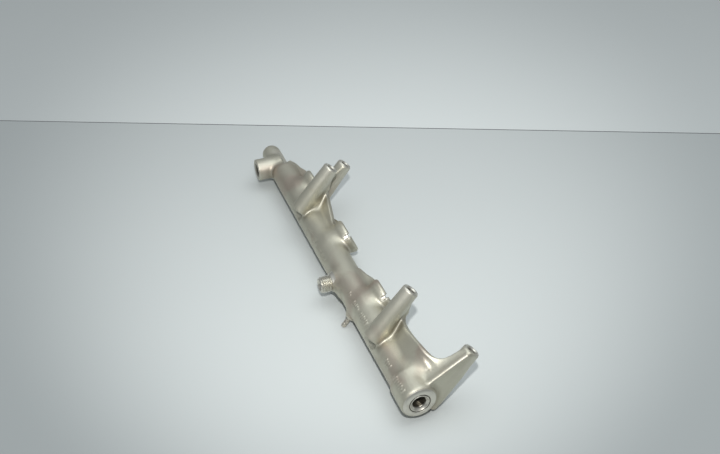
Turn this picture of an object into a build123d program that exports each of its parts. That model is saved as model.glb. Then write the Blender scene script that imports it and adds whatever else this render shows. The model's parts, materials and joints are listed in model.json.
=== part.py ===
from build123d import *
from math import cos, sin, radians, sqrt
import os

# Cast stainless fuel rail for a four-cylinder engine with direct injection, in millimetres.
# It is drawn in the rail's own axes: X along the tube, +Y the way the bolt sleeves point
# (towards the engine), +Z across both. X = 0 is midway between injectors 2 and 3.
# At the end it is rolled onto the three points that it rests on, and lifted onto Z = 0.

# ---- tube ---------------------------------------------------------------------------
tube_od = 25.0            # main tube
bore_d = 10.0             # drilled from the near end
near_end_x = 151.4        # face of the near port
collar_step = 1.5         # how far the collar round the near port stands out of the tube
collar_len = 26.0
collar_round = 4.0        # rounding of the collar's front edge
far_od = 18.0             # slimmer closed end
far_shift = 3.0           # the slim end is set away from the engine by this
far_dome_x = -205.5       # centre of the domed end
far_neck_x = -176.0       # where the slim end begins to swell
far_neck_len = 14.0
far_wall = 6.0            # metal left between the end of the bore and the dome's centre

# ---- injector cups ------------------------------------------------------------------
cup_pitch = 84.0          # cylinder pitch
cup_count = 4
cup_lean_deg = 27.0       # injectors lean from the bolt direction towards -Z
cup_reach = 19.2          # rim of a cup from the tube's axis
cup_rim_od = 29.0
cup_root_d = 21.0
cup_pocket_d = 22.0       # shallow pocket behind the rim
cup_pocket_deep = 3.5
cup_bore_d = 11.0         # takes the injector's neck and its O-ring
cup_bore_deep = 12.5      # from the rim
cup_feed_d = 2.5
cup_notch_w = 3.2         # keeps the injector from turning
cup_notch_deep = 6.3      # centred on the rim
cup_notch_turn_deg = 41.0
cup_fin_len = 37.0        # fin on the far side of each cup, from the cup's axis
cup_fin_thick = 7.0
cup_fin_rise = 13.0       # height of the fin's low end from the tube's axis
last_fin_len = 49.5       # the last cup has a longer fin that ends in a step
last_fin_rise = 9.9
cup_ear_high = 1.5        # the half of the rim that has the notch stands higher
injector_room_d = 15.0    # kept clear in front of each cup

# ---- bolt sleeves -------------------------------------------------------------------
bolt_hole_d = 7.0         # M6 with clearance
sleeve_tip_od = 13.0
sleeve_root_od = 16.0
seat_od = 11.5            # room for the head of an M6 cap screw
sleeve_round = 1.2        # rounding of the sleeve's seat end
tower_z = 15.0            # the two towers cross over the tube
tower_tip_y = 49.6
tower_seat_y = 1.5
tower_x = (86.5, -89.3)
tower_wall_w = 15.2       # wall that carries a tower's sleeve on the tube and the web
tower_wall_gap = 0.5      # the wall starts this far from the seat
tower_wall_full_y = 13.0  # it is that wide up to here, and then narrows
tower_wall_top_y = 31.0
tower_wall_top_w = 4.0
tower_wall_low_z = 2.0
tower_wall_round = 1.5
near_arm = dict(x=140.5, z=-16.8, tip_y=49.0, seat_y=-3.5)
far_arm = dict(x=-114.5, z=-12.1, tip_y=50.8, seat_y=-8.9)
arm_root_y = 8.0          # the arms are lofted from here to near the tips of their sleeves
arm_root_top_z = 2.5
arm_root_wide = 15.0
arm_root_round = 3.0
arm_tip_back = 6.0        # bare length at the tip of an arm's sleeve
arm_tip_round = 4.5
arm_low_share = 0.35      # lower side of an arm at its root, in sleeve diameters below its axis

# ---- webs ---------------------------------------------------------------------------
web_thick = 4.0
web_root_y = 2.0          # the webs start this far inside the tube
web_z = 1.0               # middle of the far web
web_reach = 27.2          # free edge of the webs from the tube's axis
web_low_reach = 18.5      # where the far web runs out at a cup
web_lap = 3.0             # the webs run this far past the towers' axes
web_round = 1.2
web_sweep_x = 13.0        # hollow corner between the near web and its arm
web_sweep_y = 14.0
web_sweep_steps = 8
web_inner = 1.0           # edge of the near web on its arm, short of the sleeve's axis
near_web_z = 4.5          # middle of the near web, which runs over the first cup
near_web_turn_x = 128.0   # where it begins to sink towards its arm
web_drop = 16.0           # how far it sinks at the tip of the arm

# ---- unions -------------------------------------------------------------------------
union_turn_deg = 130.5    # direction of both unions, from +Y towards +Z
union_x = 2.8             # mid union, male thread M14 x 1.5
union_thread_d = 14.0
union_reach = 24.1
union_thread_len = 9.5
union_foot_d = 18.5       # flare where it leaves the tube
union_bore_d = 4.0
union_seat_d = 9.0        # mouth of the cone seat
union_chamfer = 1.0
union_rib_len = 17.0      # cast rib on the union's near side
union_rib_thick = 6.0
union_nut_room = 0.6      # plain neck left between the thread and the rib
stub_x = -181.0           # far union, a plain stub with a port
stub_od = 20.4
stub_reach = 24.1
stub_round = 0.8

# ---- ports M12 x 1.5 ----------------------------------------------------------------
port_drill_d = 10.5       # tapping size
port_thread_len = 14.0
port_mouth_d = 13.6       # chamfered mouth
port_mouth_deep = 1.5
groove_in_d = 15.0        # turned groove in the near port's face
groove_out_d = 16.8
groove_deep = 0.8
stub_cross_d = 4.0

# ---- pin ----------------------------------------------------------------------------
pin_x = 36.5
pin_z = 1.0
pin_d = 4.0
pin_tip_y = -24.79
pin_boss_y = -15.6        # end of its cast boss
pin_boss_d = 8.0
pin_hole_deep = 6.0       # into the boss
pin_clear = 0.02          # between the pin and its hole

# ---- how it lies --------------------------------------------------------------------
lie_deg = 50.0            # the bolt direction is this far above the table
pitch_deg = 0.0

tube_r = tube_od / 2
collar_od = tube_od + 2 * collar_step
far_r = far_od / 2


def rod(start, way, d, length):
    """Cylinder of diameter d from start along way."""
    low = (Align.CENTER, Align.CENTER, Align.MIN)
    return Plane(origin=start, z_dir=way) * Cylinder(d / 2, length, align=low)


def taper(start, way, d0, d1, length):
    """Cone from diameter d0 at start to d1, along way."""
    low = (Align.CENTER, Align.CENTER, Align.MIN)
    return Plane(origin=start, z_dir=way) * Cone(d0 / 2, d1 / 2, length, align=low)


def along(start, way, distance):
    return tuple(s + w * distance for s, w in zip(start, way))


def ends(solid, axis, which):
    """Edges at one end of a turned solid that stands along axis."""
    return solid.edges().filter_by(GeomType.CIRCLE).sort_by(axis)[which]


def plate(points, z_mid, thick, rounding):
    """Flat plate in the XY plane with rounded outer edges."""
    body = Pos(0, 0, z_mid - thick / 2) * extrude(make_face(Polyline(points, close=True)), thick)
    return fillet(body.edges().group_by(Axis.Z)[-1] + body.edges().group_by(Axis.Z)[0], rounding)


AWAY = (0, 1, 0)                                   # the way the sleeves point
BACK = (0, -1, 0)
lean, turn = radians(cup_lean_deg), radians(union_turn_deg)
CUP = (0, cos(lean), -sin(lean))                   # the way the cups open
OUT = (0, cos(turn), sin(turn))                    # the way the unions point
cup_xs = [(i - (cup_count - 1) / 2) * cup_pitch for i in range(cup_count)]


def tube():
    neck_end = far_neck_x + far_neck_len
    main = rod((neck_end, 0, 0), (1, 0, 0), tube_od, near_end_x - 1 - neck_end)
    slim = rod((far_dome_x, -far_shift, 0), (1, 0, 0), far_od, far_neck_x - far_dome_x)
    dome = Pos(far_dome_x, -far_shift, 0) * Sphere(far_r)
    small = Plane(origin=(far_neck_x, -far_shift, 0), z_dir=(1, 0, 0)) * Circle(far_r)
    large = Plane(origin=(neck_end, 0, 0), z_dir=(1, 0, 0)) * Circle(tube_r)
    neck = loft([small, large])
    collar = rod((near_end_x - collar_len, 0, 0), (1, 0, 0), collar_od, collar_len)
    collar = fillet(ends(collar, Axis.X, -1), collar_round)
    collar = chamfer(ends(collar, Axis.X, 0), collar_step * 0.99)
    return main + slim + dome + neck + collar


def cup(x):
    """Bell of one injector cup with the fin that runs down to the tube on its far side."""
    foot = (x, 0, 0)
    straight = 5.0
    bell = taper(foot, CUP, cup_root_d, cup_rim_od, cup_reach - straight)
    rim = rod(along(foot, CUP, cup_reach - straight), CUP, cup_rim_od, straight)
    rim = fillet(ends(rim, Axis(foot, CUP), -1), 1.0)
    bell += rim
    if x != cup_xs[-1]:
        # the near web covers the first cup, so the rim of that one is level
        ear = rod(along(foot, CUP, cup_reach - straight), CUP, cup_rim_od, straight + cup_ear_high)
        ear = fillet(ends(ear, Axis(foot, CUP), -1), 1.5)
        bell += ear & at_notch(x, cup_rim_od, cup_rim_od)
    across = Plane(origin=foot, x_dir=(1, 0, 0), z_dir=(0, -sin(lean), -cos(lean)))
    is_last = x == cup_xs[0]
    long, rise = (last_fin_len, last_fin_rise) if is_last else (cup_fin_len, cup_fin_rise)
    outline = [(-long, 0), (-long, rise), (-cup_rim_od * 0.36, cup_reach), (0, cup_reach - 0.8), (0, 0)]
    fin = across * extrude(make_face(Polyline([(p, -q) for p, q in outline], close=True)),
                           cup_fin_thick / 2, both=True)
    return bell, fin


def at_notch(x, wide, tall):
    """Block across one side of a cup's rim, where its notch is."""
    up = (0, sin(lean), cos(lean))
    face = Plane(origin=along((x, 0, 0), CUP, cup_reach), x_dir=(1, 0, 0), z_dir=CUP)
    angle = cup_notch_turn_deg if face.y_dir.dot(Vector(*up)) > 0 else -cup_notch_turn_deg
    block = Pos(cup_rim_od / 2, 0, 0) * Box(cup_rim_od / 2 + 4, wide, tall)
    return face * (Rot(0, 0, angle) * block)


def sleeve(x, z, tip_y, seat_y):
    body = taper((x, seat_y, z), AWAY, sleeve_root_od, sleeve_tip_od, tip_y - seat_y)
    body = fillet(ends(body, Axis.Y, 0), sleeve_round)
    return chamfer(ends(body, Axis.Y, -1), 0.5)


def tower(x):
    """One sleeve that crosses over the tube, on the wall that carries it."""
    wide, narrow = tower_wall_w / 2, tower_wall_top_w / 2
    start = tower_seat_y + tower_wall_gap
    points = [(x - wide, start), (x + wide, start), (x + wide, tower_wall_full_y), (x + narrow, tower_wall_top_y),
              (x - narrow, tower_wall_top_y), (x - wide, tower_wall_full_y)]
    wall = Pos(0, 0, tower_wall_low_z) * extrude(make_face(Polyline(points, close=True)), tower_z - tower_wall_low_z)
    wall = fillet(wall.edges().filter_by(Axis.Z), tower_wall_round)
    return sleeve(x, tower_z, tower_tip_y, tower_seat_y) + wall


def arm(at):
    """One low sleeve with the tapering arm that joins it to the tube."""
    body = sleeve(at["x"], at["z"], at["tip_y"], at["seat_y"])
    side = 1 if at["x"] > 0 else -1
    tip_y = at["tip_y"] - arm_tip_back
    root_low = at["z"] - sleeve_root_od * arm_low_share
    root_mid = (root_low + arm_root_top_z) / 2
    root_plane = Plane(origin=(at["x"] - 0.5 * side, arm_root_y, root_mid), x_dir=(1, 0, 0), z_dir=AWAY)
    tip_plane = Plane(origin=(at["x"], tip_y, at["z"]), x_dir=(1, 0, 0), z_dir=AWAY)
    root = root_plane * RectangleRounded(arm_root_wide, arm_root_top_z - root_low, arm_root_round)
    tip = tip_plane * RectangleRounded(sleeve_tip_od - 0.6, sleeve_tip_od - 0.6, arm_tip_round)
    return body + loft([root, tip])


def near_web():
    """Sheet that is level at the near tower, runs over the first cup and sinks along the arm."""
    start_x = tower_x[0] - web_lap
    edge_x = near_arm["x"] + sleeve_tip_od / 2
    inner_x = near_arm["x"] - web_inner
    tip = near_arm["tip_y"] - arm_tip_back

    def strip(x, low):
        t = web_thick / 2
        points = [(web_root_y, near_web_z - t), (tip, low - t), (tip, low + t), (web_root_y, near_web_z + t)]
        section = Plane(origin=(x, 0, 0), x_dir=(0, 1, 0), z_dir=(1, 0, 0))
        return section * make_face(Polyline(points, close=True))

    level = [strip(x, near_web_z) for x in (start_x, near_web_turn_x)]
    sheet = loft(level, ruled=True) + loft([level[1], strip(edge_x, near_web_z - web_drop)], ruled=True)
    outline = [(start_x, web_root_y), (start_x, web_reach)]
    for i in range(web_sweep_steps + 1):
        a = radians(90 * i / web_sweep_steps)
        outline.append((inner_x - web_sweep_x * (1 - sin(a)), web_reach + web_sweep_y * (1 - cos(a))))
    outline += [(inner_x, tip), (edge_x, tip), (edge_x, web_root_y)]
    high = near_web_z + web_thick
    return sheet & Pos(0, 0, high - 4 * web_drop) * extrude(make_face(Polyline(outline, close=True)), 4 * web_drop)


def far_web():
    far_x, last = tower_x[1], cup_xs[1]
    arm_x = far_arm["x"] + web_lap
    return plate([(arm_x, web_root_y), (arm_x, web_reach), (far_x + web_lap, web_reach),
                  (last - cup_rim_od / 2, web_low_reach), (last, web_low_reach - 2), (last, web_root_y)],
                 web_z, web_thick, web_round)


def unions():
    foot = (union_x, 0, 0)
    neck_at = union_reach - union_thread_len
    thread = rod(along(foot, OUT, neck_at), OUT, union_thread_d, union_thread_len)
    thread = chamfer(ends(thread, Axis(foot, OUT), -1), union_chamfer)
    neck = rod(foot, OUT, union_thread_d - 1.0, union_reach - 2)
    flare_len = neck_at - tube_r + 3.5
    flare = taper(along(foot, OUT, neck_at - flare_len), OUT, union_foot_d, union_thread_d - 1.0, flare_len)
    side = Plane(origin=foot, x_dir=(1, 0, 0), z_dir=(0, sin(turn), -cos(turn)))
    rib_top = neck_at - union_nut_room
    points = [(0, 0), (0, rib_top), (union_thread_d / 2, rib_top), (union_rib_len, tube_r + 0.5),
              (union_rib_len, 0)]
    up = side.y_dir.dot(Vector(*OUT))
    rib = side * extrude(make_face(Polyline([(p, q * up) for p, q in points], close=True)),
                         union_rib_thick / 2, both=True)
    flare += rib
    stub = rod((stub_x, 0, 0), OUT, stub_od, stub_reach)
    stub = fillet(ends(stub, Axis((stub_x, 0, 0), OUT), -1), stub_round)
    return thread + neck + flare, stub


def port(face, way, depth):
    """What is cut away for an M12 x 1.5 port: chamfered mouth and tapped hole."""
    inward = tuple(-w for w in way)
    mouth = taper(along(face, way, 0.01), inward, port_mouth_d, port_drill_d, port_mouth_deep)
    return mouth + rod(along(face, way, 0.01), inward, port_drill_d, depth)


def build_rail():
    body = tube()
    for x in cup_xs:
        bell, fin = cup(x)
        body = body + bell + fin
    for x in tower_x:
        body = body + tower(x)
    for at in (near_arm, far_arm):
        body = body + arm(at)
    body = body + far_web()
    for x in cup_xs:
        body -= at_notch(x, cup_notch_w, cup_notch_deep)
    body = body + near_web()
    for piece in unions():
        body = body + piece
    boss_start = (pin_x, 0, pin_z)
    boss = taper(boss_start, BACK, 2 * pin_boss_d, pin_boss_d, -pin_boss_y)
    body = body + boss

    # main bore, near port with its groove, far port and cross holes
    body -= rod((near_end_x + 1, 0, 0), (-1, 0, 0), bore_d, near_end_x + 1 - far_dome_x - far_wall)
    body -= port((near_end_x, 0, 0), (1, 0, 0), port_thread_len)
    groove = rod((near_end_x - groove_deep, 0, 0), (1, 0, 0), groove_out_d, groove_deep + 1)
    body -= groove - rod((near_end_x - groove_deep - 1, 0, 0), (1, 0, 0), groove_in_d, groove_deep + 3)
    body -= port(along((stub_x, 0, 0), OUT, stub_reach), OUT, port_thread_len)
    body -= rod((stub_x, 0, 0), OUT, stub_cross_d, stub_reach)

    # mid union: bore and 60 degree cone seat
    foot = (union_x, 0, 0)
    body -= rod(foot, OUT, union_bore_d, union_reach + 1)
    seat_deep = (union_seat_d - union_bore_d) / 2 * sqrt(3)
    inward = tuple(-w for w in OUT)
    body -= taper(along(foot, OUT, union_reach + 0.01), inward, union_seat_d, union_bore_d, seat_deep)

    # cups: pocket, notch, bore, feed hole, and room for the injector in front
    for x in cup_xs:
        rim = along((x, 0, 0), CUP, cup_reach)
        into = tuple(-c for c in CUP)
        body -= rod(along(rim, CUP, 1), into, cup_pocket_d, cup_pocket_deep + 1)
        body -= rod(rim, into, cup_bore_d, cup_bore_deep)
        body -= rod(rim, into, cup_feed_d, cup_reach)
        body -= rod(rim, CUP, injector_room_d, 45)

    # bolt holes and the seats of their heads
    for x, z, tip_y, seat_y in sleeves():
        body -= rod((x, seat_y - 1, z), AWAY, bolt_hole_d, tip_y - seat_y + 2)
        body -= rod((x, seat_y, z), BACK, seat_od, 15)
        body -= taper((x, tip_y + 0.01, z), BACK, bolt_hole_d + 1.6, bolt_hole_d, 0.8)
    body -= rod((pin_x, pin_boss_y - 1, pin_z), AWAY, pin_d + 2 * pin_clear, pin_hole_deep + 1)
    return body


def sleeves():
    out = [(x, tower_z, tower_tip_y, tower_seat_y) for x in tower_x]
    return out + [(a["x"], a["z"], a["tip_y"], a["seat_y"]) for a in (near_arm, far_arm)]


def build_pin():
    bottom = pin_boss_y + pin_hole_deep - 0.5
    body = rod((pin_x, pin_tip_y, pin_z), AWAY, pin_d, bottom - pin_tip_y)
    body = fillet(ends(body, Axis.Y, 0), 1.0)
    return chamfer(ends(body, Axis.Y, -1), 0.4)


rail = build_rail()
pin = build_pin()
lie = Rot(0, pitch_deg, 0) * Rot(lie_deg, 0, 0)
laid = {"rail_body": lie * rail, "locating_pin": lie * pin}
boxes = [solid.bounding_box() for solid in laid.values()]
middle = [(min(tuple(b.min)[i] for b in boxes) + max(tuple(b.max)[i] for b in boxes)) / 2
          for i in range(2)]
lowest = min(b.min.Z for b in boxes)
os.makedirs("parts", exist_ok=True)
for name, solid in laid.items():
    export_step(Pos(-middle[0], -middle[1], -lowest) * solid, f"parts/{name}.step")
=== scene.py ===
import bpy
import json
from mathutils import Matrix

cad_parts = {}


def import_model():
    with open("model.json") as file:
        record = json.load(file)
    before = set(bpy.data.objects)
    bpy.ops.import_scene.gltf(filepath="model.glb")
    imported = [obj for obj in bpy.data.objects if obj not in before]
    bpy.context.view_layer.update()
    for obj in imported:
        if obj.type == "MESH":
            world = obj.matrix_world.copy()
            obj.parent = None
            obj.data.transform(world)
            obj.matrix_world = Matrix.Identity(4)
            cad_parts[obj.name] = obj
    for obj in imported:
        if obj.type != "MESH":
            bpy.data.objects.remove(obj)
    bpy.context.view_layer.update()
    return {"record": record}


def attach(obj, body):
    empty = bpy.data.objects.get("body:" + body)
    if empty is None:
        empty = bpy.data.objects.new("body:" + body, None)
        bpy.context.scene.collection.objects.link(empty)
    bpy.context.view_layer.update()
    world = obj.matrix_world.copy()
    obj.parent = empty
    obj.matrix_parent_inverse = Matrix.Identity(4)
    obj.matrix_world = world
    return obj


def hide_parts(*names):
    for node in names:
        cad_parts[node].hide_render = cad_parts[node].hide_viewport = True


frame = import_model()

import bmesh
import bpy
import json
import math
import numpy as np
import openvdb
from mathutils import Matrix, Vector

# ---------------------------------------------------------------------------------------
# The rail's own axes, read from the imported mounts: X along the tube, B the way the bolt
# sleeves point, Z across both. All sizes below are millimetres in these axes.
# ---------------------------------------------------------------------------------------
NEAR_END = 151.4                                # face of the near port
PORT_MOUTH_DEEP, PORT_THREAD_HALF = 1.5, 6.25   # its mount lies this far in from the face
mounts = {m["name"]: m for m in frame["record"]["mounts"]}
X = Vector(mounts["near_port"]["axis"]).normalized()
B = -Vector(mounts["bolt_tower_near"]["axis"]).normalized()
Z = X.cross(B).normalized()
ORIGIN = Vector(mounts["near_port"]["pos_m"]) * 1000 - X * (NEAR_END - PORT_MOUTH_DEEP - PORT_THREAD_HALF)
TO_WORLD = np.array([list(X), list(B), list(Z)])


def world(points):
    """Rail axes in mm to the row frame in metres."""
    return (np.asarray(points, float) @ TO_WORLD + np.array(ORIGIN)) / 1000.0


# ---------------------------------------------------------------------------------------
# Directions and sizes
# ---------------------------------------------------------------------------------------
CUP_LEAN = math.radians(27.0)       # injectors lean from B towards -Z
OUT_TURN = math.radians(130.5)      # both unions point this far from B towards Z
NOTCH_TURN = math.radians(41.0)     # the cups' notches, from X towards CUP_UP
ALONG, AWAY, BACK = np.array([1.0, 0, 0]), np.array([0, 1.0, 0]), np.array([0, -1.0, 0])
CUP = np.array([0, math.cos(CUP_LEAN), -math.sin(CUP_LEAN)])
CUP_UP = np.array([0, math.sin(CUP_LEAN), math.cos(CUP_LEAN)])
OUT = np.array([0, math.cos(OUT_TURN), math.sin(OUT_TURN)])
OUT_SIDE = np.array([0, -math.sin(OUT_TURN), math.cos(OUT_TURN)])
NOTCH = ALONG * math.cos(NOTCH_TURN) + CUP_UP * math.sin(NOTCH_TURN)
NOTCH_SIDE = -ALONG * math.sin(NOTCH_TURN) + CUP_UP * math.cos(NOTCH_TURN)

TUBE_R, TUBE_END = 12.5, 149.0                  # the near port's turned ring starts before this
FAR_R, FAR_SHIFT = 9.0, 3.0                     # slimmer far end, set back from the tube's axis
FAR_DOME_X, FAR_NECK_X, FAR_NECK_LEN = -205.5, -176.0, 14.0
COLLAR_X, COLLAR_R = 126.5, 14.0
BORE_R, BORE_END = 5.0, -199.5

CUPS = [-126.0, -42.0, 42.0, 126.0]
CUP_REACH = 19.2                                # rim of a cup from the tube's axis
FIN_HALF, FIN_ROUND, FIN_SHIFT = 3.5, 1.2, 0.3
FIN = [(-37, 0), (-37, 12.8), (-30.0, 15.2), (-21.0, 18.3), (-14.7, 19.2), (0, 19.2), (0, 0)]
LAST_FIN = [(-49.5, 0), (-49.5, 9.9), (-40.6, 13.2), (-31.3, 14.9), (-23.8, 17.2), (-15.8, 19.0),
            (0, 19.2), (0, 0)]
NOTCH_HALF, NOTCH_LOW = 1.3, 15.4               # half width, and its floor from the tube's axis
NOTCH_FROM, NOTCH_TO = 3.0, 17.0                # reach from the cup's axis

# bolt sleeves: X, Z, then the places of the tip and the seat along B
TOWER_Z, TOWER_TIP, TOWER_SEAT = 15.0, 49.6, 1.5
TOWERS = [(x0, TOWER_Z, TOWER_TIP, TOWER_SEAT) for x0 in (86.5, -89.3)]
ARMS = [(140.5, -16.8, 49.0, -3.5), (-114.5, -12.1, 50.8, -8.9)]
SLEEVES = TOWERS + ARMS
END_RING = 0.3                                  # the casting ends this far short of a sleeve's tip

WEB_THICK, WEB_ROUND, FAR_WEB_Z = 4.4, 0.9, 1.0
FAR_WEB = [(-111.3, 2), (-111.3, 30), (-97.6, 30.2), (-90.5, 26.8), (-83, 24.4), (-75.6, 22.3),
           (-65, 19.4), (-54.8, 16.4), (-42, 14), (-42, 2)]
# the near web runs level, turns up in a round corner and follows the near arm to its tip
NEAR_WEB = [(82.5, 2), (82.5, 27.5), (89.3, 26.3), (94.0, 25.4), (99.1, 25.2), (105.7, 25.6),
            (111.6, 26.2), (117.0, 27.0), (124.0, 27.8), (128.0, 28.1), (130.6, 28.2), (132.2, 28.6),
            (133.8, 29.3), (135.2, 30.4), (136.3, 32.0), (137.1, 33.8), (137.7, 36.0), (138.1, 38.4),
            (138.3, 41.0), (138.6, 44.0), (139.6, 46.6), (141.5, 48.0), (146.0, 48.7), (147.2, 2)]
RIDGE_Y, RIDGE_TOP, RIDGE_CAP = 11.0, 3.2, 4.3  # crest of the near arm: height at Y, and its most
NEAR_SLOPE, FAR_TOP, FAR_SLOPE = 0.3625, 3.0, 0.30
RIDGE_R = 1.3

UNION_X, STUB_X, OUT_REACH = 2.8, -181.0, 24.1  # mid union, far stub, and how far both reach
PIN_X, PIN_Z = 36.5, 1.0
RIB = [(0, 0), (0, 14.0), (6.8, 14.0), (17, 12.9), (22, 0)]
RIB_HALF, RIB_ROUND = 3.0, 1.0

# rows of raised marks: first X, how many, degrees round the tube from B towards Z, radius
MARKS = [(-65.0, 9, 99.0, TUBE_R), (-41.0, 10, 105.0, TUBE_R), (31.0, 2, 83.0, TUBE_R),
         (42.0, 5, 86.0, TUBE_R), (57.0, 6, 84.0, TUBE_R), (110.5, 4, 89.0, TUBE_R),
         (130.5, 7, 87.0, COLLAR_R)]
MARK_STEP, MARK_R, MARK_SUNK = 2.3, 0.8, 0.2

# ---------------------------------------------------------------------------------------
# The casting is a distance field: shapes are joined with soft corners, as casting wax is.
# ---------------------------------------------------------------------------------------
STEP = 0.62
LOW, HIGH = np.array([-218.0, -30.0, -29.0]), np.array([155.0, 56.0, 29.0])
AXES = [np.arange(LOW[i], HIGH[i] + STEP, STEP, dtype=np.float32) for i in range(3)]
FAR_OFF = 40.0                                  # distance held where nothing is near


class Field:
    def __init__(self):
        self.d = np.full([len(a) for a in AXES], FAR_OFF, np.float32)

    def window(self, low, high):
        """Index ranges and open grids of the part of the field between two corners."""
        first = [max(0, int((low[i] - LOW[i]) / STEP)) for i in range(3)]
        last = [min(len(AXES[i]), int((high[i] - LOW[i]) / STEP) + 2) for i in range(3)]
        cut = tuple(slice(a, b) for a, b in zip(first, last))
        x, y, z = np.meshgrid(*[AXES[i][cut[i]] for i in range(3)], indexing="ij", sparse=True)
        return cut, x, y, z

    def join(self, shape, low, high, soft):
        cut, x, y, z = self.window(low, high)
        a, b = self.d[cut], shape(x, y, z).astype(np.float32)
        h = np.maximum(soft - np.abs(a - b), 0) / soft
        self.d[cut] = np.minimum(a, b) - h * h * soft * 0.25

    def cut(self, shape, low, high, soft=0.25):
        cut, x, y, z = self.window(low, high)
        a, b = self.d[cut], -shape(x, y, z).astype(np.float32)
        h = np.maximum(soft - np.abs(a - b), 0) / soft
        self.d[cut] = np.maximum(a, b) + h * h * soft * 0.25


def rounded(side, level, rounding):
    """Meeting of two distances that were raised by rounding, with their corner rounded off."""
    outside = np.sqrt(np.maximum(side, 0) ** 2 + np.maximum(level, 0) ** 2)
    return np.minimum(np.maximum(side, level), 0) + outside - rounding


def eased(t):
    """Rise from 0 to 1 that starts and ends level."""
    t = np.clip(t, 0, 1)
    return t * t * (3 - 2 * t)


def reach(x, y, z, x0, way):
    """How far a point lies from the tube's axis at x0 in a direction."""
    return (x - x0) * way[0] + y * way[1] + z * way[2]


def turned(foot, way, profile, rounding=0.0):
    """Solid of revolution about an axis; profile is [(distance along, radius), ...]."""
    foot, way = np.asarray(foot, float), np.asarray(way, float)
    at, rad = np.array([p[0] for p in profile]), np.array([p[1] for p in profile])
    slope = np.max(np.abs(np.diff(rad) / np.maximum(np.diff(at), 1e-3)))
    lean = 1.0 / math.sqrt(1 + min(slope, 1.0) ** 2)

    def shape(x, y, z):
        px, py, pz = x - foot[0], y - foot[1], z - foot[2]
        s = px * way[0] + py * way[1] + pz * way[2]
        rho = np.sqrt(np.maximum(px * px + py * py + pz * pz - s * s, 0))
        side = (rho - np.interp(s, at, rad) + rounding) * lean
        end = np.maximum(at[0] - s, s - at[-1]) + rounding
        return rounded(side, end, rounding)
    return shape


def polygon(u, v, points):
    """Signed distance to a flat polygon, negative inside."""
    d = np.full(np.broadcast(u, v).shape, 1e9)
    inside = np.zeros(d.shape, bool)
    for (ax, ay), (bx, by) in zip(points, points[1:] + points[:1]):
        ex, ey = bx - ax, by - ay
        wx, wy = u - ax, v - ay
        t = np.clip((wx * ex + wy * ey) / (ex * ex + ey * ey), 0, 1)
        d = np.minimum(d, (wx - ex * t) ** 2 + (wy - ey * t) ** 2)
        if abs(ey) > 1e-9:
            inside ^= ((ay > v) != (by > v)) & (u < ex * (v - ay) / ey + ax)
    return np.where(inside, -1, 1) * np.sqrt(d)


def leaning(x, z, big, big_r, small, small_r):
    """Hull of two circles in the XZ plane, whose places and radii may change along Y."""
    ux, uz = small[0] - big[0], small[1] - big[1]
    length = np.sqrt(ux * ux + uz * uz)
    ux, uz = ux / length, uz / length
    qx, qz = x - big[0], z - big[1]
    rise = np.clip((big_r - small_r) / length, -0.9, 0.97)
    along = qx * ux + qz * uz + np.abs(qx * uz - qz * ux) * rise / np.sqrt(1 - rise * rise)
    t = np.clip(along / length, 0, 1)
    middle = np.sqrt((qx - ux * length * t) ** 2 + (qz - uz * length * t) ** 2)
    return middle - (big_r + (small_r - big_r) * t)


def slab(points, mid, thick, rounding):
    """Plate whose outline is a polygon in (X, Y); mid(x, y) gives the height of its middle."""
    def shape(x, y, z):
        side = polygon(x, y, points) + rounding
        level = np.abs(z - mid(x, y)) - thick / 2 + rounding
        return rounded(side, level, rounding)
    return shape


def upright(x0, up, across, points, shift, half_thick, rounding):
    """Plate along the tube that stands up from it; its outline is in (X - x0, height)."""
    def shape(x, y, z):
        height = y * up[1] + z * up[2]
        off = y * across[1] + z * across[2]
        side = polygon(x - x0, height, points) + rounding
        level = np.abs(off - shift) - half_thick + rounding
        return rounded(side, level, rounding)
    return shape


# ---------------------------------------------------------------------------------------
# Parts of the casting. Each is joined in its window, two corners that hold it and its blend.
# ---------------------------------------------------------------------------------------
def add_tube(f):
    """Tube, slim far end with its dome, and the collar."""
    def tube(x, y, z):
        s = eased((x - FAR_NECK_X) / FAR_NECK_LEN)
        r, middle = FAR_R + (TUBE_R - FAR_R) * s, -FAR_SHIFT * (1 - s)
        rho = np.sqrt((y - middle) ** 2 + z ** 2)
        dome = np.sqrt(np.minimum(x - FAR_DOME_X, 0) ** 2 + rho ** 2)
        return np.maximum(dome - r, x - TUBE_END)
    f.join(tube, LOW, HIGH, 0.5)
    collar = turned((0, 0, 0), ALONG, [(COLLAR_X, COLLAR_R), (NEAR_END - 0.1, COLLAR_R)], 3.6)
    f.join(collar, (COLLAR_X - 8.5, -20, -20), HIGH, 1.6)


def add_cup(f, x0):
    """Injector cup with its fin, and the half of its rim that carries the notch."""
    foot, last = (x0, 0, 0), x0 == CUPS[0]
    low, high = (x0 - 60, -14, -29), (x0 + 24, 40, 22)
    bell = [(2.0, 11.4), (8.0, 12.0), (13.0, 13.0), (CUP_REACH - 1.0, 14.3), (CUP_REACH, 14.3)]
    f.join(turned(foot, CUP, bell, 1.3), low, high, 6.0)
    fin = upright(x0, CUP, CUP_UP, LAST_FIN if last else FIN, FIN_SHIFT, FIN_HALF, FIN_ROUND)
    f.join(fin, low, high, 2.0 if last else 5.0)
    if x0 == CUPS[-1]:
        return
    lip = turned(foot, CUP, [(14.0, 13.2), (18.4, 14.2), (CUP_REACH + 1.5, 14.2)], 1.6)

    def ear(x, y, z):
        return np.maximum(lip(x, y, z), -reach(x, y, z, x0, NOTCH))
    f.join(ear, low, high, 3.0)


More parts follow.
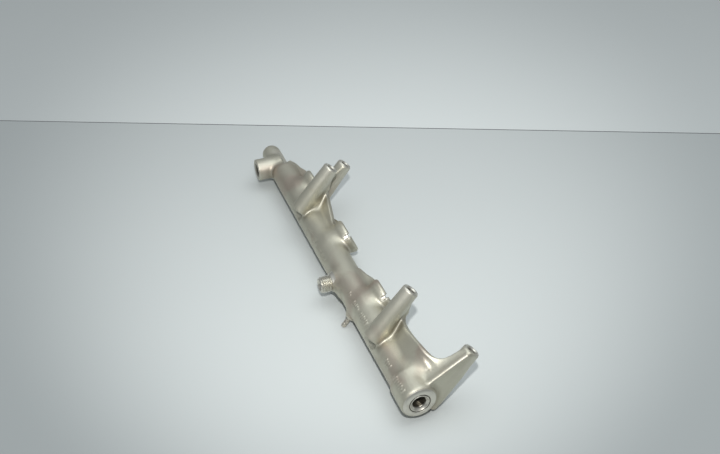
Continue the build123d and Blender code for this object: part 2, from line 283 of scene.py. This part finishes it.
def add_tower(f, x0, z0, tip, seat):
    """Sleeve that crosses over the tube, on a wall that narrows towards the web's edge."""
    low, high = (x0 - 26, -14, -12), (x0 + 30, 56, 29)
    wall_z, wall_low, wall_from, end_y = 4.0, -1.0, 2.0, 43.0
    slant_y, slant_z, slant = 37.0, 6.0, 1.8        # its free end leans back under the sleeve

    def skirt(x, y, z):
        foot = np.interp(y, [12.0, 19.0, 26.0], [7.8, 4.2, 1.4])
        r = np.minimum(5.9 - 0.03 * (y - wall_from), 0.5 * (46.0 - y))
        hull = leaning(x, z, (x0, z0), r, (x0 + 0 * y, wall_z + 0 * y), foot)
        end = np.maximum((y - slant_y - slant * (z - slant_z)) * 0.49, y - end_y)
        return np.maximum(hull * 0.9, np.maximum(end, np.maximum(wall_from - y, wall_low - z)))
    f.join(skirt, low, high, 4.5)
    f.join(turned((x0, 0, z0), AWAY, [(seat, 7.7), (tip - END_RING, 6.5)], 0.8), low, high, 2.5)


def cut_notch(f, x0):
    def notch(x, y, z):
        off, out = reach(x, y, z, x0, NOTCH_SIDE), reach(x, y, z, x0, NOTCH)
        ends = np.maximum(NOTCH_LOW - reach(x, y, z, x0, CUP), out - NOTCH_TO)
        return np.maximum(np.abs(off) - NOTCH_HALF, np.maximum(NOTCH_FROM - out, ends))
    f.cut(notch, (x0 - 18, -2, -29), (x0 + 18, 40, 22))


def add_arm(f, x0, z0, tip, seat):
    """Low arm: a sleeve that leans up to a crisp ridge."""
    low, high = (x0 - 26, -16, -29), (x0 + 26, 56, 16)
    near = x0 > 0
    ridge_x = x0 + 5.6 if near else x0 + 4.6
    top, slope = (RIDGE_TOP, NEAR_SLOPE) if near else (FAR_TOP, FAR_SLOPE)
    root_y, tip_bare = 4.0, 2.5

    def blade(x, y, z):
        crest = np.minimum(top - slope * (y - RIDGE_Y), RIDGE_CAP)
        r = 7.4 - 1.0 * (y - 2.0) / (tip - 2.0)
        hull = leaning(x, z, (x0, z0), r, (ridge_x + 0 * y, crest - RIDGE_R), RIDGE_R)
        return np.maximum(hull * 0.95, np.maximum(y - tip + tip_bare, root_y - y))
    f.join(turned((x0, 0, z0), AWAY, [(seat, 8.0), (tip - END_RING, 6.5)], 1.0), low, high, 2.0)
    f.join(blade, low, high, 2.2)


def add_near_web(f):
    """It is level over the first cup and sinks in an eased step to the near arm's crest."""
    level_z, level_y, level_fall = 6.7, 27.0, 0.8           # level part, and where it slopes off
    step_x, step_y, step_lean, step_end, step_len = 132.0, 6.0, 0.5, 142.0, 18.0
    tilt, tilt_x = 0.04, 146.0                              # slope along X, level with the crest here
    tip_y, tip_len, tip_drop = 41.0, 7.0, 0.7               # sinks flush into the arm's tip

    def sheet(x, y):
        crest = np.minimum(RIDGE_TOP - NEAR_SLOPE * (y - RIDGE_Y), RIDGE_CAP)
        ridge = crest + tilt * (tilt_x - x) - tip_drop * np.clip((y - tip_y) / tip_len, 0, 1)
        level = level_z - level_fall * np.maximum(y - level_y, 0)
        foot_x = np.minimum(step_x + step_lean * (y - step_y), step_end)
        rise = eased((foot_x - x) / step_len)
        return ridge + np.maximum(level - ridge, 0) * rise - WEB_THICK / 2
    f.join(slab(NEAR_WEB, sheet, WEB_THICK, WEB_ROUND), (80, -4, -20), (152, 56, 16), 3.0)


def add_marks(f):
    """Rows of small raised bars where castings carry their marks."""
    for start, count, turn, radius in MARKS:
        a = math.radians(turn)
        up, round_way = np.array([0, math.cos(a), math.sin(a)]), np.array([0, -math.sin(a), math.cos(a)])
        for i in range(count):
            x0 = start + MARK_STEP * i
            half = 1.4 if (i * 7 + count) % 3 else 0.7
            at = up * (radius - MARK_SUNK) + round_way * (0.5 if (i * 5) % 4 == 1 else 0)

            def bar(x, y, z):
                px, py, pz = x - x0, y - at[1], z - at[2]
                t = np.clip(py * round_way[1] + pz * round_way[2], -half, half)
                return np.sqrt(px ** 2 + (py - t * round_way[1]) ** 2 + (pz - t * round_way[2]) ** 2) - MARK_R
            f.join(bar, (x0 - 3, at[1] - 4, at[2] - 4), (x0 + 3, at[1] + 4, at[2] + 4), 0.5)


def add_unions(f):
    """Mid union with its rib, far stub, and the pin's boss."""
    low, high = (UNION_X - 26, -30, -8), (UNION_X + 30, 8, 29)
    shoulder = [(6.0, 9.8), (11.6, 8.6), (13.6, 7.0), (14.4, 6.6)]
    f.join(turned((UNION_X, 0, 0), OUT, shoulder, 0.2), low, high, 3.5)
    f.join(upright(UNION_X, OUT, OUT_SIDE, RIB, 0.0, RIB_HALF, RIB_ROUND), low, high, 4.0)
    low, high = (STUB_X - 22, -30, -14), (STUB_X + 26, 12, 29)
    f.join(turned((STUB_X, 0, 0), OUT, [(0, 10.2), (OUT_REACH, 10.2)], 0.8), low, high, 4.5)
    boss = turned((PIN_X, 0, PIN_Z), BACK, [(4.0, 6.6), (12.0, 5.4), (15.6, 4.0)], 0.6)
    f.join(boss, (PIN_X - 16, -24, -12), (PIN_X + 16, 2, 14), 2.5)


def drill(f, foot, way, start, end, r, low, high):
    f.cut(turned(foot, way, [(start, r), (end, r)]), low, high)


def cut_hollows(f):
    """Machined hollows, a little wider than the turned pieces that line them."""
    centre = (0, 0, 0)
    drill(f, centre, ALONG, BORE_END, 160, BORE_R, (BORE_END - 4.5, -8, -8), HIGH)
    drill(f, centre, ALONG, 136, 160, 7.5, (132, -10, -10), HIGH)
    drill(f, centre, ALONG, 150.2, 160, 10.0, (146, -13, -13), HIGH)
    stub, low, high = (STUB_X, 0, 0), (STUB_X - 12, -30, 0), (STUB_X + 12, 4, 29)
    drill(f, stub, OUT, 9.0, 40, 7.4, low, high)
    drill(f, stub, OUT, 0, 40, 2.0, low, high)
    drill(f, (UNION_X, 0, 0), OUT, 0, 40, 2.6, (UNION_X - 8, -30, -4), (UNION_X + 8, 4, 29))
    for x0 in CUPS:
        rim = np.array([x0, 0, 0]) + CUP * CUP_REACH
        low, high = (x0 - 18, -2, -29), (x0 + 18, 56, 18)
        drill(f, rim, CUP, -3.8, 0.4 if x0 == CUPS[-1] else 2.0, 11.3, low, high)
        drill(f, rim, CUP, -12.8, 6, 6.0, low, high)
        drill(f, rim, CUP, -CUP_REACH, 6, 1.8, low, high)
        drill(f, rim, CUP, 0, 45, 7.5, low, high)
    for x0, z0, tip, seat in SLEEVES:
        low, high = (x0 - 10, -24, z0 - 9), (x0 + 10, 56, z0 + 9)
        drill(f, (x0, 0, z0), AWAY, -30, 60, 4.2, low, high)
        drill(f, (x0, seat, z0), BACK, 0, 15, 5.75, low, high)
    drill(f, (PIN_X, 0, PIN_Z), BACK, 9.6, 30, 2.3, (PIN_X - 5, -30, -5), (PIN_X + 5, 0, 8))


def make_field():
    f = Field()
    add_tube(f)
    for x0 in CUPS:
        add_cup(f, x0)
    for tower in TOWERS:
        add_tower(f, *tower)
    far_web = slab(FAR_WEB, lambda x, y: FAR_WEB_Z + 0 * x, WEB_THICK, WEB_ROUND)
    f.join(far_web, (-118, -4, -8), (-36, 40, 12), 3.5)
    for x0 in CUPS:
        cut_notch(f, x0)
    for arm in ARMS:
        add_arm(f, *arm)
    add_near_web(f)
    add_marks(f)
    add_unions(f)
    cut_hollows(f)
    return f


# ---------------------------------------------------------------------------------------
# Meshes
# ---------------------------------------------------------------------------------------
def shade_smooth(mesh):
    mesh.polygons.foreach_set("use_smooth", np.ones(len(mesh.polygons), bool))


def mark_points(mesh, name, values):
    """Value at each point, for the materials."""
    mesh.attributes.new(name, "FLOAT", "POINT").data.foreach_set("value", np.asarray(values, np.float32))


def add_mesh(name, verts, faces, normals=None):
    mesh = bpy.data.meshes.new(name)
    mesh.from_pydata(np.asarray(verts, float).tolist(), [], faces)
    mesh.update()
    shade_smooth(mesh)
    if normals is not None:
        mesh.normals_split_custom_set_from_vertices(np.asarray(normals, float).tolist())
    obj = bpy.data.objects.new(name, mesh)
    bpy.context.scene.collection.objects.link(obj)
    return obj


def sample(f, p):
    """Distance field at points, by trilinear interpolation."""
    q = np.clip((p - LOW) / STEP, 0, np.array(f.d.shape) - 1.001)
    i = q.astype(int)
    t = q - i
    out = np.zeros(len(p))
    for corner in np.ndindex(2, 2, 2):
        weight = np.prod(np.where(corner, t, 1 - t), axis=1)
        out += weight * f.d[tuple((i + corner).T)]
    return out


def cast_body():
    """The casting's skin, with painted shade marked in its hollows and its edges marked for the material."""
    f = make_field()
    grid = openvdb.FloatGrid(FAR_OFF)
    grid.copyFromArray(np.ascontiguousarray(f.d))
    grid.gridClass = openvdb.GridClass.LEVEL_SET
    points, triangles, quads = grid.convertToPolygons(0.0, 0.06)
    points = np.asarray(points, float) * STEP + LOW
    faces = [q[::-1] for q in quads.tolist()] + [t[::-1] for t in triangles.tolist()]
    near_by = STEP * 0.8
    slope = np.stack([sample(f, points + d) - sample(f, points - d) for d in np.eye(3) * near_by], axis=1)
    slope /= np.maximum(np.linalg.norm(slope, axis=1), 1e-6)[:, None]
    obj = add_mesh("rail_casting", world(points), faces, slope @ TO_WORLD)

    hollow_reach, edge_reach = 4.0, 1.6
    # painted shade: how far the field closes in over each point, standing in for ambient occlusion in hollows
    # and creases
    painted_hollow_shade = np.clip((hollow_reach - sample(f, points + slope * hollow_reach)) / hollow_reach, 0, 1)
    edge = np.clip((sample(f, points - slope * edge_reach) + edge_reach) / edge_reach, 0, 1)
    # the cups' notches get full painted shade and lose their pale edge
    for x0 in CUPS[:-1]:
        offset = points - np.array([x0, 0, 0])
        out, up, off = offset @ NOTCH, offset @ CUP, np.abs(offset @ NOTCH_SIDE)
        inside = (off < NOTCH_HALF + 0.4) & (up > NOTCH_LOW - 0.4) & (out > 8.0) & (out < 13.6)
        painted_hollow_shade, edge = np.where(inside, 1.0, painted_hollow_shade), np.where(inside, 0.0, edge)
    mark_points(obj.data, "painted_hollow_shade", painted_hollow_shade)
    mark_points(obj.data, "edge", edge)
    print("casting: triangles", 2 * len(quads) + len(triangles))
    return obj


def open_notch(faces, points, foot, way, gap):
    """Faces of a cup's turned ring without those that its notch takes away."""
    toward, half_angle, depth = gap
    offset = points - foot
    height = offset @ way
    radial = offset - height[:, None] * way
    near = radial @ toward > math.cos(half_angle) * np.linalg.norm(radial, axis=1)
    taken = near & (height > -depth)
    return [face for face in faces if not all(taken[k] for k in face)]


def painted_shade_mark(s, r, bore, mouth, groove):
    """How much painted shade a turned point gets: 1 deep in a bore, less in a groove of the face."""
    if r < bore:
        return min(max((-s - mouth) / 2.0, 0), 1)
    return 0.8 if groove[0] < r < groove[1] and s > -1.0 else 0.0


def turned_mesh(name, foot, way, loop, sides=72, bore=0.0, mouth=1.0, groove=(0, 0), gap=None):
    """Machined ring: loop is a closed profile of (distance along, radius, thread depth).

    What is narrower than bore gets painted shade from mouth on, and radii inside groove get painted shade too.
    gap leaves out the faces at a notch: (direction, half angle, depth).
    """
    foot, way = np.asarray(foot, float), np.asarray(way, float)
    side = np.cross(way, ALONG if abs(way[0]) < 0.5 else CUP_UP)
    side /= np.linalg.norm(side)
    other = np.cross(way, side)
    angle = np.linspace(0, 2 * math.pi, sides, endpoint=False)
    ring = side[None] * np.cos(angle)[:, None] + other[None] * np.sin(angle)[:, None]
    rows = []
    for s, r, depth in loop:
        phase = (s / PITCH - angle / (2 * math.pi)) % 1.0
        crest = np.clip(1.25 * (1 - np.abs(2 * phase - 1)) - 0.125, 0, 1)
        rows.append(foot + way * s + ring * (r + depth * crest)[:, None])
    points = np.concatenate(rows)
    faces = []
    for i in range(len(loop)):
        a, b = i * sides, (i + 1) % len(loop) * sides
        faces += [(a + j, b + j, b + (j + 1) % sides, a + (j + 1) % sides) for j in range(sides)]
    if gap:
        faces = open_notch(faces, points, foot, way, gap)
    obj = add_mesh(name, world(points), faces)
    # painted shade for rows deep in a bore or in the face's groove
    painted_recess_shade = [painted_shade_mark(s, r, bore, mouth, groove) for s, r, _ in loop]
    mark_points(obj.data, "painted_recess_shade", np.repeat(painted_recess_shade, sides))
    bm = bmesh.new()
    bm.from_mesh(obj.data)
    bmesh.ops.recalc_face_normals(bm, faces=bm.faces)
    bm.to_mesh(obj.data)
    bm.free()
    shade_smooth(obj.data)
    obj.modifiers.new("crisp", "EDGE_SPLIT").split_angle = math.radians(32)
    return obj


PITCH = 1.5                                     # of every thread


def plain(*points):
    """Stretch of a profile without a thread."""
    return [(s, r, 0) for s, r in points]


def threaded(s0, s1, r, depth):
    """Stretch of a profile with a thread that runs out at both ends."""
    steps, run_out = 8, 1.6
    count = max(2, int(abs(s1 - s0) / PITCH * steps))
    rows = []
    for i in range(count + 1):
        t = i / count
        fade = min(1.0, min(t, 1 - t) * count / steps * run_out)
        rows.append((s0 + (s1 - s0) * t, r, depth * fade))
    return rows


# ---------------------------------------------------------------------------------------
# Machined places, cut into the casting after it was blasted. Profiles start at the face.
# ---------------------------------------------------------------------------------------
PORT_THREAD = threaded(-1.5, -14.0, 5.3, 0.75)
NEAR_PORT = (
    plain((-1.9, 10.6), (-1.9, 13.1), (-1.45, 13.15), (-0.93, 12.7), (-0.5, 12.15), (-0.18, 11.5), (0, 10.7),
          (0, 8.5), (-0.2, 8.3), (-0.8, 8.2), (-0.8, 7.6), (-0.2, 7.5), (0, 7.3),
          (0, 6.9), (-0.15, 6.75), (-1.2, 5.95))
    + PORT_THREAD + plain((-15.4, 5.0), (-15.4, 7.6), (-1.9, 7.6)))
FAR_PORT = (
    plain((-1.5, 7.5), (0.0, 7.5), (0.02, 7.1), (0, 6.9), (-1.2, 5.95))
    + PORT_THREAD + plain((-15.0, 5.0), (-15.0, 1.9), (-16.0, 1.9), (-16.0, 7.5)))
UNION = (
    plain((-12.5, 4.0), (-12.6, 9.3), (-11.9, 8.75), (-11.1, 8.25), (-10.3, 7.85), (-9.7, 7.6), (-9.5, 7.4),
          (-9.4, 6.15))
    + threaded(-9.2, -0.9, 6.02, 0.95)
    + plain((-0.75, 6.2), (0, 5.5), (0, 4.7), (-0.15, 4.5), (-4.4, 2.05), (-20.0, 2.0), (-20.0, 2.7),
            (-12.5, 2.7)))
BOLT_END = plain((-1.4, 6.2), (-0.45, 6.2), (-0.05, 5.85), (0, 5.6), (0, 4.5), (-0.15, 4.35), (-0.85, 3.55),
                 (-14.0, 3.5), (-14.0, 4.5), (-1.4, 4.5))
BOLT_SEAT = plain((-10.0, 4.4), (-10.0, 3.5), (-0.4, 3.5), (-0.02, 3.9), (-0.02, 5.9), (-0.02, 7.2),
                  (-0.3, 7.4), (-0.6, 7.3), (-0.6, 4.4))
CUP_LINING = plain(
    (0.03, 13.6), (0.03, 11.35), (-0.35, 11.0), (-3.3, 11.0), (-3.5, 10.8), (-3.5, 6.6), (-4.4, 5.6),
    (-4.8, 5.5), (-12.2, 5.5), (-12.5, 5.2), (-12.5, 1.5), (-12.9, 1.25), (-18.0, 1.25), (-18.0, 1.9),
    (-13.2, 1.9), (-13.2, 6.2), (-4.9, 6.2), (-4.3, 11.6), (-0.6, 11.8), (-0.4, 13.6))
PIN = plain(
    (10.2, 0.02), (10.2, 1.6), (10.6, 1.98), (17.1, 1.98), (17.4, 1.7), (18.0, 1.7), (18.3, 1.98),
    (20.2, 1.98), (20.5, 1.72), (21.0, 1.72), (21.3, 1.98), (23.7, 1.98), (24.3, 1.75), (24.65, 1.3),
    (24.75, 0.8), (24.75, 0.02))
NOTCH_GAP = (NOTCH, 0.15, 4.2)


def machine_places():
    union_face = np.array([UNION_X, 0, 0]) + OUT * OUT_REACH
    stub_face = np.array([STUB_X, 0, 0]) + OUT * OUT_REACH
    made = [
        turned_mesh("near_port", (NEAR_END, 0, 0), ALONG, NEAR_PORT, 96, bore=6.0, groove=(7.55, 8.25)),
        turned_mesh("far_port", stub_face, OUT, FAR_PORT, 80, bore=6.95, mouth=-0.4),
        turned_mesh("fuel_union", union_face, OUT, UNION, 96, bore=4.4),
    ]
    for i, (x0, z0, tip, seat) in enumerate(SLEEVES):
        made.append(turned_mesh("bolt_end_%d" % (i + 1), (x0, tip, z0), AWAY, BOLT_END, 64, bore=4.0))
        made.append(turned_mesh("bolt_seat_%d" % (i + 1), (x0, seat, z0), BACK, BOLT_SEAT, 64))
    for i, x0 in enumerate(CUPS):
        rim = np.array([x0, 0, 0]) + CUP * CUP_REACH
        gap = None if x0 == CUPS[-1] else NOTCH_GAP
        made.append(turned_mesh("injector_cup_%d" % (4 - i), rim, CUP, CUP_LINING, 90, bore=11.2, gap=gap))
    return made


casting = cast_body()
machined = machine_places()
pin = turned_mesh("locating_pin_turned", (PIN_X, 0, PIN_Z), BACK, PIN, 40)
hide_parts("rail_body")
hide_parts("locating_pin")
for piece in [casting, pin] + machined:
    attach(piece, "root")


# ---------------------------------------------------------------------------------------
# Materials
# ---------------------------------------------------------------------------------------
STEEL, STEEL_PALE = (0.475, 0.458, 0.375), (0.55, 0.535, 0.44)
PATCH_BROWN, HEAT_TINT = (0.36, 0.31, 0.235), (0.43, 0.345, 0.285)
# the first and last of these colours are painted shade, in the casting's hollows and deep in bores and grooves;
# the middle one pales the edges
HOLLOW_PAINTED_SHADE, EDGE_PALE, BORE_PAINTED_SHADE = (0.20, 0.175, 0.12), (0.62, 0.60, 0.52), (0.07, 0.062, 0.045)
TURNED, TURNED_STAIN = (0.64, 0.62, 0.55), (0.42, 0.38, 0.31)
PIN_STEEL, PIN_STAIN = (0.60, 0.56, 0.48), (0.40, 0.33, 0.26)


class Nodes:
    """Short way to build a material's node tree."""

    def __init__(self, name):
        self.mat = bpy.data.materials.new(name)
        self.mat.use_nodes = True
        self.tree = self.mat.node_tree
        self.bsdf = self.tree.nodes["Principled BSDF"]
        self.place = self.add("ShaderNodeTexCoord").outputs["Object"]

    def add(self, kind, **settings):
        node = self.tree.nodes.new(kind)
        for key, value in settings.items():
            setattr(node, key, value)
        return node

    def put(self, value, socket):
        """Link an output to a socket, or write a number or a colour into it."""
        if isinstance(value, (int, float)):
            socket.default_value = value
        elif isinstance(value, tuple):
            socket.default_value = (*value, 1.0)
        else:
            self.tree.links.new(value, socket)

    def noise(self, scale, detail=4.0, rough=0.55, twist=0.0):
        node = self.add("ShaderNodeTexNoise")
        inputs = {"Vector": self.place, "Scale": scale, "Detail": detail,
                  "Roughness": rough, "Distortion": twist}
        for key, value in inputs.items():
            self.put(value, node.inputs[key])
        return node.outputs["Fac"]

    def ramp(self, value, low, high, out_low=0.0, out_high=1.0):
        node = self.add("ShaderNodeMapRange")
        inputs = {"Value": value, "From Min": low, "From Max": high, "To Min": out_low, "To Max": out_high}
        for key, v in inputs.items():
            self.put(v, node.inputs[key])
        return node.outputs["Result"]

    def math(self, how, a, b):
        node = self.add("ShaderNodeMath", operation=how)
        self.put(a, node.inputs[0])
        self.put(b, node.inputs[1])
        return node.outputs[0]

    def mix(self, fac, a, b):
        node = self.add("ShaderNodeMix", data_type="RGBA")
        for key, value in (("Factor", fac), ("A", a), ("B", b)):
            fits = (k for k in node.inputs if k.name == key and (k.type == "RGBA" or key == "Factor"))
            self.put(value, next(fits))
        return next(k for k in node.outputs if k.type == "RGBA")

    def attribute(self, name):
        return self.add("ShaderNodeAttribute", attribute_name=name).outputs["Fac"]

    def bump(self, height, distance, strength, under=None):
        node = self.add("ShaderNodeBump")
        self.put(distance, node.inputs["Distance"])
        self.put(strength, node.inputs["Strength"])
        self.put(height, node.inputs["Height"])
        if under is not None:
            self.put(under, node.inputs["Normal"])
        return node.outputs["Normal"]

    def finish(self, **inputs):
        """Set the shader's inputs; an underscore in a name stands for a space."""
        for key, value in inputs.items():
            self.put(value, self.bsdf.inputs[key.replace("_", " ")])
        return self.mat


def cast_look():
    """Blasted stainless casting: mottled, with painted shade in its hollows and paler on its edges."""
    m = Nodes("cast_stainless")
    painted_hollow_shade, edge = m.attribute("painted_hollow_shade"), m.attribute("edge")
    broad, patch, grain = m.noise(14, 3), m.noise(46, 5, 0.6, 0.6), m.noise(1500, 2, 0.6)
    colour = m.mix(m.ramp(broad, 0.35, 0.65), STEEL, STEEL_PALE)
    colour = m.mix(m.ramp(patch, 0.55, 0.75, 0, 0.45), colour, PATCH_BROWN)
    tint = m.math("MULTIPLY", m.ramp(m.noise(22, 2, 0.5, 1.2), 0.54, 0.70), 0.6)
    colour = m.mix(tint, colour, HEAT_TINT)
    # painted shade in the hollows and creases
    colour = m.mix(m.ramp(painted_hollow_shade, 0.02, 0.45, 0, 0.6), colour, HOLLOW_PAINTED_SHADE)
    colour = m.mix(m.ramp(edge, 0.22, 0.6, 0, 0.7), colour, EDGE_PALE)
    rough = m.math("ADD", m.ramp(grain, 0.3, 0.7, 0.41, 0.50), m.ramp(patch, 0.4, 0.7, 0.0, 0.08))
    skin = m.bump(m.noise(260, 4, 0.65), 0.0004, 0.35)
    return m.finish(Base_Color=colour, Metallic=0.78, Roughness=rough, Normal=m.bump(grain, 0.00012, 0.5, skin))


def machined_look(name, colour, rough, stain):
    """Turned steel, with painted shade where points lie deep in a bore or in a face groove."""
    m = Nodes(name)
    patch, grain = m.noise(160, 4, 0.6), m.noise(2600, 2, 0.5)
    worn = m.mix(m.ramp(patch, 0.5, 0.75, 0, 0.6), colour, stain)
    # painted shade deep in bores and grooves
    return m.finish(Base_Color=m.mix(m.attribute("painted_recess_shade"), worn, BORE_PAINTED_SHADE), Metallic=0.9,
                    Roughness=m.ramp(patch, 0.3, 0.7, rough, rough + 0.14),
                    Normal=m.bump(grain, 0.00005, 0.5))


casting.data.materials.append(cast_look())
turned_steel = machined_look("turned_steel", TURNED, 0.30, TURNED_STAIN)
for piece in machined:
    piece.data.materials.append(turned_steel)
pin.data.materials.append(machined_look("pin_steel", PIN_STEEL, 0.32, PIN_STAIN))

# ---------------------------------------------------------------------------------------
# Camera, table and light, in metres
# ---------------------------------------------------------------------------------------
CAMERA_AT = Vector((0.61815, -0.21465, 0.53189))
CAMERA_X = Vector((0.3554, 0.9345, -0.0157))
CAMERA_Y = Vector((-0.5540, 0.2242, 0.8018))
CAMERA_Z = Vector((0.7528, -0.2762, 0.5975))
lens = bpy.data.cameras.new("camera")
lens.lens, lens.sensor_width = 48.97, 36
camera = bpy.data.objects.new("camera", lens)
bpy.context.scene.collection.objects.link(camera)
camera.matrix_world = Matrix((CAMERA_X, CAMERA_Y, CAMERA_Z)).transposed().to_4x4()
camera.matrix_world.translation = CAMERA_AT
bpy.context.scene.camera = camera


def flat(name, corners, tone, rough):
    """Plain sheet with a faint unevenness."""
    obj = add_mesh(name, corners, [tuple(range(len(corners)))])
    m = Nodes(name)
    colour = m.mix(m.ramp(m.noise(3, 3), 0.3, 0.7), tuple(c * 0.985 for c in tone), tone)
    obj.data.materials.append(m.finish(Base_Color=colour, Roughness=rough, Specular_IOR_Level=0.25))


# the table is two sheets that meet in a narrow seam, which runs past the rail's far end
TABLE_TONE, FAR_TABLE_TONE = (0.565, 0.592, 0.578), (0.70, 0.728, 0.708)
SEAM_A, SEAM_B, SEAM_GAP = Vector((-0.3759, -0.2600, 0)), Vector((-0.0628, 0.4323, 0)), 0.0012
PAST_ENDS, SHEET_WIDE = 3, 4
run = (SEAM_B - SEAM_A).normalized()
toward = Vector((run.y, -run.x, 0))
left, right = SEAM_A - run * PAST_ENDS, SEAM_B + run * PAST_ENDS
wide, gap = toward * SHEET_WIDE, toward * SEAM_GAP
flat("table", [left, left + wide, right + wide, right], TABLE_TONE, 0.45)
flat("far_table", [left - wide, left - gap, right - gap, right - wide], FAR_TABLE_TONE, 0.6)


def lamp(kind, name, at, target, **settings):
    data = bpy.data.lights.new(name, kind)
    for key, value in settings.items():
        setattr(data, key, value)
    obj = bpy.data.objects.new(name, data)
    bpy.context.scene.collection.objects.link(obj)
    obj.location = at
    obj.rotation_euler = (Vector(target) - obj.location).to_track_quat("-Z", "Y").to_euler()


# a flash just above the lens, with a soft overhead light and a brighter world towards the top
lamp("SPOT", "flash", CAMERA_AT + CAMERA_Y * 0.115 + CAMERA_X * 0.004, (-0.052, 0.029, 0.0),
     energy=19.0, shadow_soft_size=0.012, spot_size=math.radians(44), spot_blend=1.0)
lamp("AREA", "sky", (0.03, 0.11, 0.70), (0.02, 0.05, 0.0),
     energy=2.0, shape="DISK", size=0.7, color=(0.93, 0.98, 1.0))
AIR_COLOUR, AIR_LOW, AIR_HIGH = (0.90, 0.95, 1.0, 1), 0.10, 0.62
ambient = bpy.data.worlds.new("ambient")
bpy.context.scene.world = ambient
ambient.use_nodes = True
air = ambient.node_tree
way = air.nodes.new("ShaderNodeTexCoord")
split = air.nodes.new("ShaderNodeSeparateXYZ")
level = air.nodes.new("ShaderNodeMapRange")
level.inputs["To Min"].default_value, level.inputs["To Max"].default_value = AIR_LOW, AIR_HIGH
sky_node = air.nodes["Background"]
sky_node.inputs["Color"].default_value = AIR_COLOUR
air.links.new(way.outputs["Generated"], split.inputs[0])
air.links.new(split.outputs["Z"], level.inputs["Value"])
air.links.new(level.outputs["Result"], sky_node.inputs["Strength"])
bpy.context.scene.view_settings.view_transform = "Standard"
